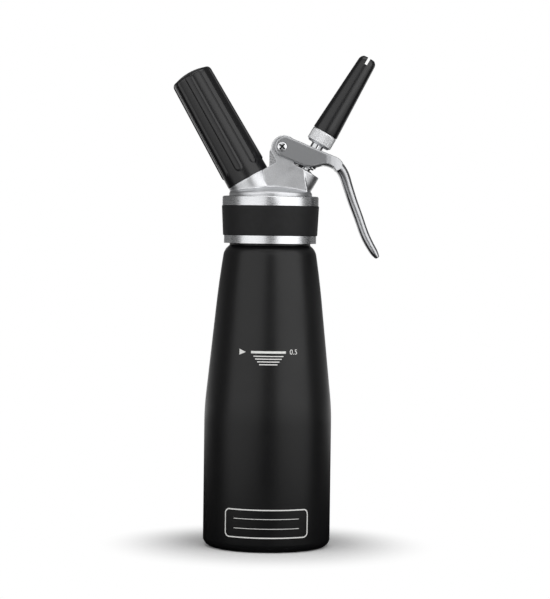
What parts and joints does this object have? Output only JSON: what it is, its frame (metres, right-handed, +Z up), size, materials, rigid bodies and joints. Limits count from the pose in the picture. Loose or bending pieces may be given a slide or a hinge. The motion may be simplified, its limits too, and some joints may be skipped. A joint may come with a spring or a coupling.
{
  "type": "whipped cream dispenser",
  "caption": "Tall tapered bottle with a screw-on head, a tilted gas-charger holder, a squeeze lever and a slim slotted nozzle",
  "frame": {"origin": "centre of the bottle's flat underside, on the bottle's axis", "axes": "+Z up along the bottle, +X towards the lever and nozzle, -X towards the charger holder"},
  "size_m": [0.1283, 0.078, 0.3008],
  "materials": {
    "black_powder_coat": "satin powder coat",
    "satin_aluminium": "turned and blasted",
    "black_silicone": "matte moulded",
    "grey_silicone": "moulded",
    "black_plastic": "fine grained",
    "plain_aluminium": "turned",
    "charger_steel": "bright plated",
    "brass": "turned",
    "polished_steel": "polished",
    "black_seal_rubber": "moulded",
    "white_plastic": "turned",
    "spring_steel": "drawn wire",
    "polished_lever_metal": "polished rim, satin cheeks",
    "knurled_aluminium": "knurled"
  },
  "bodies": {
    "bottle": {"bottle": "black_powder_coat"},
    "gasket": {"head_gasket": "grey_silicone"},
    "head": {"head_body": "satin_aluminium", "grip_band": "black_silicone", "pivot_sleeve": "polished_steel", "pivot_screw": "polished_steel", "pin_carrier": "brass", "piercing_pin": "polished_steel", "pin_o_ring": "black_seal_rubber", "check_valve_ring": "black_seal_rubber", "charger_seal": "black_seal_rubber", "stem_guide": "white_plastic", "stem_o_ring": "black_seal_rubber", "valve_spring": "spring_steel"},
    "charger": {"gas_charger": "charger_steel"},
    "holder": {"charger_holder": "black_plastic", "holder_insert": "plain_aluminium"},
    "lever": {"lever": "polished_lever_metal"},
    "stem": {"valve_stem": "polished_steel", "valve_seal": "black_seal_rubber", "valve_foot_nut": "polished_steel"},
    "seal": {"nozzle_seal": "black_seal_rubber"},
    "nozzle": {"nozzle_collar": "knurled_aluminium", "nozzle_tip": "black_plastic"}
  },
  "joints": [
    {"name": "head_lift", "type": "slide", "parent": "bottle", "child": "gasket", "axis": [0, 0, 1], "range_m": [0, 0.00802]},
    {"name": "head_turn", "type": "hinge", "parent": "gasket", "child": "head", "pos_m": [0, 0, 0.2], "axis": [0, 0, 1], "range_deg": [0, 720]},
    {"name": "charger_lift", "type": "slide", "parent": "head", "child": "charger", "axis": [-0.5, 0, 0.866], "range_m": [0, 0.005]},
    {"name": "holder_turn", "type": "hinge", "parent": "charger", "child": "holder", "pos_m": [-0.02, 0, 0.23564], "axis": [-0.5, 0, 0.866], "range_deg": [0, 721]},
    {"name": "lever_press", "type": "hinge", "parent": "head", "child": "lever", "pos_m": [0.0066, 0, 0.2443], "axis": [0, 1, 0], "range_deg": [0, 8.5], "stiffness_Nm_per_rad": 4, "springref_deg": -2.86},
    {"name": "stem_press", "type": "slide", "parent": "head", "child": "stem", "axis": [0.5, 0, 0.866], "range_m": [-0.00276, 0], "deforming": ["valve_spring"]},
    {"name": "nozzle_lift", "type": "slide", "parent": "stem", "child": "seal", "axis": [0.5, 0, 0.866], "range_m": [0, 0.003]},
    {"name": "nozzle_turn", "type": "hinge", "parent": "seal", "child": "nozzle", "pos_m": [0.03, 0, 0.24856], "axis": [0.5, 0, 0.866], "range_deg": [0, 721]}
  ],
  "couplings": [
    {"joint": "head_lift", "follows": "head_turn", "m_per_rad": 0.00063662},
    {"joint": "holder_turn", "follows": "charger_lift", "rad_per_m": 2513.3},
    {"joint": "nozzle_turn", "follows": "nozzle_lift", "rad_per_m": 4188.8},
    {"joint": "stem_press", "follows": "lever_press", "m_per_rad": -0.0185}
  ]
}
